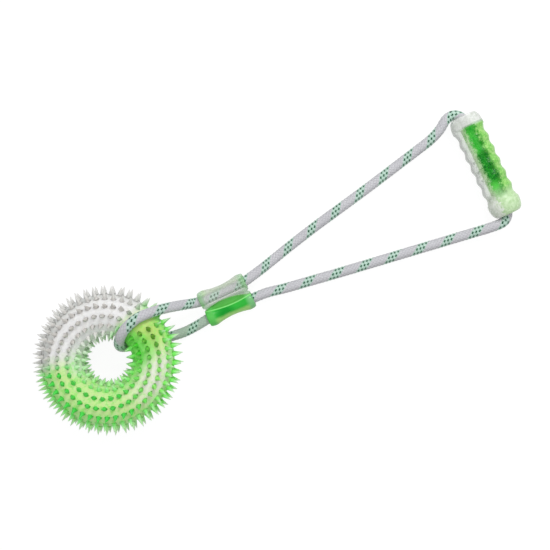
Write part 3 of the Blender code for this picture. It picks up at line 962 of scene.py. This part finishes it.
def crinkles(shader, point, across, z):
    """A fine noise, its mottle, the place across that it makes ragged, and the dark patch."""
    crinkle = shader.noise(point, 340.0, 4.0, 0.75)
    mottle = shader.fade(crinkle, 0.36, 0.64)
    shift = (crinkle - 0.5) * CRINKLE_SHIFT
    ragged = across + shift
    height = z + shift
    low, high = [shader.fade(height, *ends) for ends in DARK_ALONG_FADES]
    left, right = [shader.fade(ragged, *ends) for ends in DARK_ACROSS_FADES]
    dark = low * high * (left * right) * shader.fade(crinkle, 0.475, 0.53)
    return crinkle, mottle, ragged, dark


def grip_material():
    """Clear rubber that turns green on one side and lets the core show. Its rims are painted grey
    as shade, and paler where green.
    """
    shader = Shader("grip_rubber")
    point, x, y, z = shader.place()
    across = x + (shader.noise(point, 60.0) - 0.5) * 0.006
    _, mottle, ragged, dark = crinkles(shader, point, across, z)
    radius = shader.length(x, y)
    # The bore's wall doesn't show, so that the core is seen through the outer skin alone
    outer = shader.fade(radius, GRIP_BORE_RADIUS + 0.0004, GRIP_BORE_RADIUS + 0.0014)
    # Painted light and shade along the rims as they are seen: grey on the clear rubber, paler on
    # the green
    rim_light_and_shade = shader.fade(abs(x) / radius, 0.82, 0.99)
    cap = shader.fade(z, *CAP_FADE)
    foot = shader.fade(z, *FOOT_FADE)
    tint = shader.fade(across, *TINT_FADE)
    below_cap = shader.math("SUBTRACT", 1.0, cap)
    band = shader.fade(ragged, *BAND_FADE) * below_cap
    flank = shader.fade(ragged, *FLANK_FADE) * below_cap

    clear = shader.mix(mottle, (254, 255, 253), (228, 232, 225))
    clear = shader.mix(tint, clear, shader.mix(mottle, (208, 254, 182), (184, 236, 158)))
    clear = shader.mix(rim_light_and_shade, clear, (212, 214, 212))
    clear = shader.mix(cap, clear, shader.mix(mottle, (250, 252, 249), (224, 229, 220)))
    clear = shader.mix(foot, clear, shader.mix(mottle, (244, 249, 240), (222, 231, 214)))
    green = shader.mix(flank, (66, 200, 66), shader.mix(mottle, (116, 198, 84), (172, 226, 132)))
    green = shader.mix(rim_light_and_shade * flank, green, (216, 236, 198))
    green = shader.mix(foot, green, shader.mix(mottle, (214, 240, 198), (186, 220, 166)))
    colour = shader.mix(band, clear, green)
    cover = shader.between(band, 0.34, 0.25)
    for share, least in ((flank, 0.94), (rim_light_and_shade, 0.80), (cap, 0.66), (foot, 0.92), (dark, 0.70)):
        cover = shader.math("MAXIMUM", cover, share * least)
    shader.set(
        Base_Color=shader.mix(dark, colour, (0, 124, 27)),
        Roughness=0.2,
        Normal=shader.bump(shader.noise(point, 600.0), 0.0001, 0.4),
        Alpha=cover * outer,
        Specular_IOR_Level=0.25,
        IOR=1.4,
    )
    return shader.material


def core_material():
    """A green stripe, darker behind the crinkled patch and paler below, and clear beside it."""
    shader = Shader("core_rubber")
    point, x, _, z = shader.place()
    across = x + (shader.noise(point, 90.0, 3.0) - 0.5) * 0.004
    crinkle, mottle, ragged, dark = crinkles(shader, point, across, z)
    green = shader.mix(mottle, (22, 176, 36), (92, 210, 80))
    green = shader.mix(dark, green, (0, 116, 14))
    green = shader.mix(shader.fade(z, *CORE_LIGHTER_FADE), green, (112, 238, 92))
    green = shader.mix(shader.fade(z, *CORE_FOOT_FADE), green, (218, 255, 202))
    clear = shader.mix(mottle, (240, 255, 224), (216, 250, 194))
    shader.set(
        Base_Color=shader.mix(shader.fade(ragged, *CORE_BAND_FADE), clear, green),
        Roughness=0.35,
        Normal=shader.bump(crinkle, 0.0001, 0.3),
        Specular_IOR_Level=0.1,
        IOR=1.4,
    )
    return shader.material


def ferrule_material():
    shader = Shader("ferrule_film")
    soft = shader.noise(shader.place()[0], 400.0, 3.0)
    shader.set(
        Base_Color=shader.mix(soft, (14, 88, 40), (34, 124, 62)),
        Roughness=0.5,
        Normal=shader.bump(soft, 0.0001, 0.5),
    )
    return shader.material


def make_handle():
    place = HANDLE_FRAME
    mesh = turned_mesh("grip_skin", grip_profile(), HANDLE_SIDES)
    new_object("grip_skin", mesh, place, grip_material(), "handle", "handle_grip")
    half = CORE_LENGTH / 2
    bevel = CORE_WALL / 4
    profile = [
        (CORE_RADIUS - bevel, half),
        (CORE_RADIUS, half - bevel),
        (CORE_RADIUS, bevel - half),
        (CORE_RADIUS - bevel, -half),
        (CORE_BORE_RADIUS, -half),
        (CORE_BORE_RADIUS, half),
    ]
    mesh = turned_mesh("core_skin", profile, HANDLE_SIDES)
    material = core_material()
    new_object("core_skin", mesh, place, material, "handle", "handle_core_tube")
    ferrule = frame["nodes"]["rope_ferrule"]
    ferrule.data.materials.clear()
    ferrule.data.materials.append(ferrule_material())


# Sleeve


def spool_profile():
    """One spool of the sleeve, solid, with its flared and rounded ends."""
    half = SLEEVE_LENGTH / 2
    radii = (SLEEVE_END_RADIUS, SLEEVE_FLARE_RADIUS)
    top_round = end_round(*radii, SLEEVE_FLARE_AT, half - SLEEVE_FLARE_AT, SLEEVE_ROUND_STEPS)[:-1]
    waist = []
    for height in np.linspace(SLEEVE_FLARE_AT, -SLEEVE_FLARE_AT, SLEEVE_WAIST_POINTS):
        share = (height / SLEEVE_FLARE_AT) ** 2
        waist.append((SLEEVE_WAIST_RADIUS + SLEEVE_FLARE * share, float(height)))
    return [(0, half)] + top_round + waist + mirrored(top_round) + [(0, -half)]


def bore_profile():
    """What is cut out for the rope, wider at the mouths and on past the sleeve's ends."""
    mouth = SLEEVE_LENGTH / 2
    past = mouth + SLEEVE_MOUTH_DEPTH
    straight = mouth - SLEEVE_MOUTH_DEPTH
    half = [(0, past), (SLEEVE_BORE_RADIUS + SLEEVE_MOUTH_FLARE, past)]
    for share in np.linspace(1, 0, SLEEVE_MOUTH_POINTS):
        radius = SLEEVE_BORE_RADIUS + SLEEVE_MOUTH_FLARE * share**SLEEVE_MOUTH_CURVE
        half.append((radius, straight + SLEEVE_MOUTH_DEPTH * share))
    return half + mirrored(half)


def applied(obj):
    """The object's mesh with its modifiers applied."""
    graph = bpy.context.evaluated_depsgraph_get()
    return bpy.data.meshes.new_from_object(obj.evaluated_get(graph))


def combine(base, others, operation):
    for other in others:
        modifier = base.modifiers.new(operation.title(), "BOOLEAN")
        modifier.operation = operation
        modifier.solver = "EXACT"
        modifier.object = other


def turned_pair(name, profile):
    """The same turned body on the axis of each of the sleeve's bores, the upper one first."""
    along_x = Matrix.Rotation(math.pi / 2, 4, "Y")
    pair = []
    for row in (1, -1):
        place = Matrix.Translation((0, row * SLEEVE_BORE_SPACING / 2, 0)) @ along_x
        pair.append(placed(name, turned_mesh(name, profile, SLEEVE_SIDES, False), place))
    return pair


def sleeve_mesh():
    """Two flared spools and a web between them, melted into one, with the rope's bores cut."""
    spools = turned_pair("spool", spool_profile())
    bm = bmesh.new()
    size = (2 * SLEEVE_FLARE_AT, SLEEVE_BORE_SPACING, SLEEVE_WEB_THICKNESS)
    bmesh.ops.create_cube(bm, size=1, matrix=Matrix.Diagonal((*size, 1)))
    web_mesh = bpy.data.meshes.new("web")
    bm.to_mesh(web_mesh)
    bm.free()
    web = placed("web", web_mesh, Matrix.Identity(4))
    base = spools[0]
    combine(base, [spools[1], web], "UNION")
    remesh = base.modifiers.new("Melt", "REMESH")
    remesh.mode = "VOXEL"
    remesh.voxel_size = SLEEVE_VOXEL
    smooth = base.modifiers.new("Soften", "SMOOTH")
    smooth.iterations = SLEEVE_SOFTENINGS
    solid = placed("solid", applied(base), base.matrix_world)
    bores = turned_pair("bore", bore_profile())
    bpy.context.view_layer.update()
    combine(solid, bores, "DIFFERENCE")
    mesh = applied(solid)
    mesh.transform(solid.matrix_world)
    for obj in spools + bores + [web, solid]:
        bpy.data.objects.remove(obj)
    return mesh


def crease_line(along, crease):
    """Where a crease lies across the piece, at a place along it."""
    across, middle, bend = crease
    past = along - middle
    return past * past * bend + across


def sleeve_material():
    """Clear over the upper strand, green over the lower one and the lens between, with highlight
    lines painted along the creases and shade along the upper edge.
    """
    shader = Shader("sleeve_rubber")
    point, x, y, z = shader.place()
    soft = shader.noise(point, 70.0)
    across = y * math.cos(SLEEVE_ROLL) - z * math.sin(SLEEVE_ROLL)
    swayed = across + (soft - 0.5) * 0.003
    past_low = across - crease_line(x, LOW_CREASE)
    past_high = across - crease_line(x, HIGH_CREASE)
    # Painted highlights: pale lines along the two creases
    low_crease_highlight = shader.fade(abs(past_low), *CREASE_HIGHLIGHT_FADE)
    high_crease_highlight = shader.fade(abs(past_high), *CREASE_HIGHLIGHT_FADE)
    spool = shader.fade(past_low, 0.0003, -0.0003)
    lens = shader.fade(past_high, 0.0004, -0.0004)
    ends = shader.fade(abs(x), *SLEEVE_ENDS_FADE)
    left = shader.fade(x, *SLEEVE_LEFT_FADE)
    # The upper spool's outer edge, painted greyer there as shade
    edge = shader.fade(swayed, *SLEEVE_EDGE_FADE)
    shade = shader.fade(across, 0.006, 0.001)

    clear = shader.mix(shade, (236, 242, 232), (134, 176, 130))
    clear = shader.mix(edge, clear, (206, 222, 196))
    clear = shader.mix(edge * left, clear, (182, 226, 150))
    clear = shader.mix(ends, clear, (156, 212, 152))
    web = shader.mix(soft, (78, 180, 66), (96, 194, 84))
    deep = shader.mix(shader.patch(point, *SLEEVE_DEEP_PATCH), (46, 192, 58), (0, 158, 38))
    deep = shader.mix(shader.fade(swayed, *SLEEVE_LOW_EDGE_FADE), deep, (170, 228, 128))
    colour = shader.mix(lens, clear, web)
    colour = shader.mix(spool, colour, deep)
    colour = shader.mix(ends * lens, colour, (126, 200, 130))
    colour = shader.mix(left * lens, colour, (96, 208, 92))
    colour = shader.mix(high_crease_highlight, colour, (138, 206, 122))
    colour = shader.mix(low_crease_highlight, colour, (146, 244, 136))

    # The bores' walls don't show, so the rope is seen through the outer skin alone
    bore = shader.length(abs(y) - SLEEVE_BORE_SPACING / 2, z)
    outer = shader.fade(bore, SLEEVE_BORE_RADIUS + 0.0003, SLEEVE_BORE_RADIUS + 0.0009)
    cover = shader.between(edge, shader.between(shade, 0.22, 0.5), 0.6)
    cover = shader.between(lens, shader.between(ends, cover, 0.48), 0.9)
    shader.set(
        Base_Color=colour,
        Roughness=0.15,
        Normal=shader.bump(shader.noise(point, 700.0), 0.00008, 0.4),
        Alpha=cover * outer,
        Specular_IOR_Level=0.25,
        IOR=1.4,
    )
    return shader.material


def make_sleeve():
    mesh = sleeve_mesh()
    place = SLEEVE_FRAME
    new_object("sleeve_skin", mesh, place, sleeve_material(), "sleeve", "sleeve")


# Studio


def make_camera():
    data = bpy.data.cameras.new("camera")
    data.sensor_width = SENSOR_MM
    data.lens = FOCAL_PIXELS / PHOTO_PIXELS * SENSOR_MM
    camera = bpy.data.objects.new("camera", data)
    camera.location = CAMERA_PLACE
    camera.rotation_euler = (0, 0, CAMERA_TURN)
    bpy.context.scene.collection.objects.link(camera)
    bpy.context.scene.camera = camera


def seen_share(nodes):
    """1 for a ray that sees the backdrop: from the camera, off a gloss, or through the rubber."""
    path = nodes.node("ShaderNodeLightPath").outputs
    names = ("Is Camera Ray", "Is Glossy Ray", "Is Transmission Ray")
    camera, glossy, through = [Value(nodes, path[name]) for name in names]
    return nodes.math("MAXIMUM", nodes.math("MAXIMUM", camera, glossy), through)


def grey(share):
    return (share, share, share, 1)


def make_floor():
    place = (0, 0, -FLOOR_DROP)
    bpy.ops.mesh.primitive_circle_add(
        vertices=FLOOR_SIDES, radius=FLOOR_RADIUS, fill_type="NGON", location=place
    )
    floor = bpy.context.object
    floor.name = "floor"
    material = bpy.data.materials.new("floor")
    nodes = Nodes(material)
    nodes.tree.nodes.clear()
    lit = nodes.value("ShaderNodeBsdfDiffuse", 0, {"Color": grey(FLOOR_GREY)})
    shaded = nodes.value("ShaderNodeBsdfDiffuse", 0, {"Color": grey(FLOOR_SEEN_GREY)})
    glow = nodes.value("ShaderNodeEmission", 0, {"Strength": FLOOR_GLOW})
    seen = nodes.value("ShaderNodeAddShader", 0, {0: shaded, 1: glow})
    surface = nodes.value("ShaderNodeMixShader", 0, {0: seen_share(nodes), 1: lit, 2: seen})
    nodes.node("ShaderNodeOutputMaterial", {"Surface": surface})
    floor.data.materials.append(material)


def make_world():
    """White for every ray that sees the backdrop. The light is weaker towards the horizon."""
    world = bpy.data.worlds.new("studio")
    nodes = Nodes(world)
    _, _, up = nodes.split(nodes.value("ShaderNodeTexCoord", "Generated"))
    levels = {"Value": up, "To Min": SKY_AT_HORIZON, "To Max": SKY_OVERHEAD}
    sky = nodes.value("ShaderNodeMapRange", 0, levels)
    levels = {"Value": seen_share(nodes), "To Min": sky, "To Max": 1.0}
    background = nodes.tree.nodes["Background"]
    nodes.feed(background.inputs["Strength"], nodes.value("ShaderNodeMapRange", 0, levels))
    nodes.feed(background.inputs["Color"], grey(1))
    bpy.context.scene.world = world


def make_lamp(name, place, size, power):
    data = bpy.data.lights.new(name, "AREA")
    data.shape = "DISK"
    data.size = size
    data.energy = power
    lamp = bpy.data.objects.new(name, data)
    lamp.location = place
    lamp.rotation_euler = Vector(place).to_track_quat("Z", "Y").to_euler()
    bpy.context.scene.collection.objects.link(lamp)


def make_studio():
    make_camera()
    make_floor()
    make_world()
    for lamp in LAMPS:
        make_lamp(*lamp)
    bpy.context.scene.view_settings.view_transform = "Standard"


def main():
    make_studio()
    rope_path = make_rope()
    make_ring(rope_path)
    make_handle()
    make_sleeve()


main()
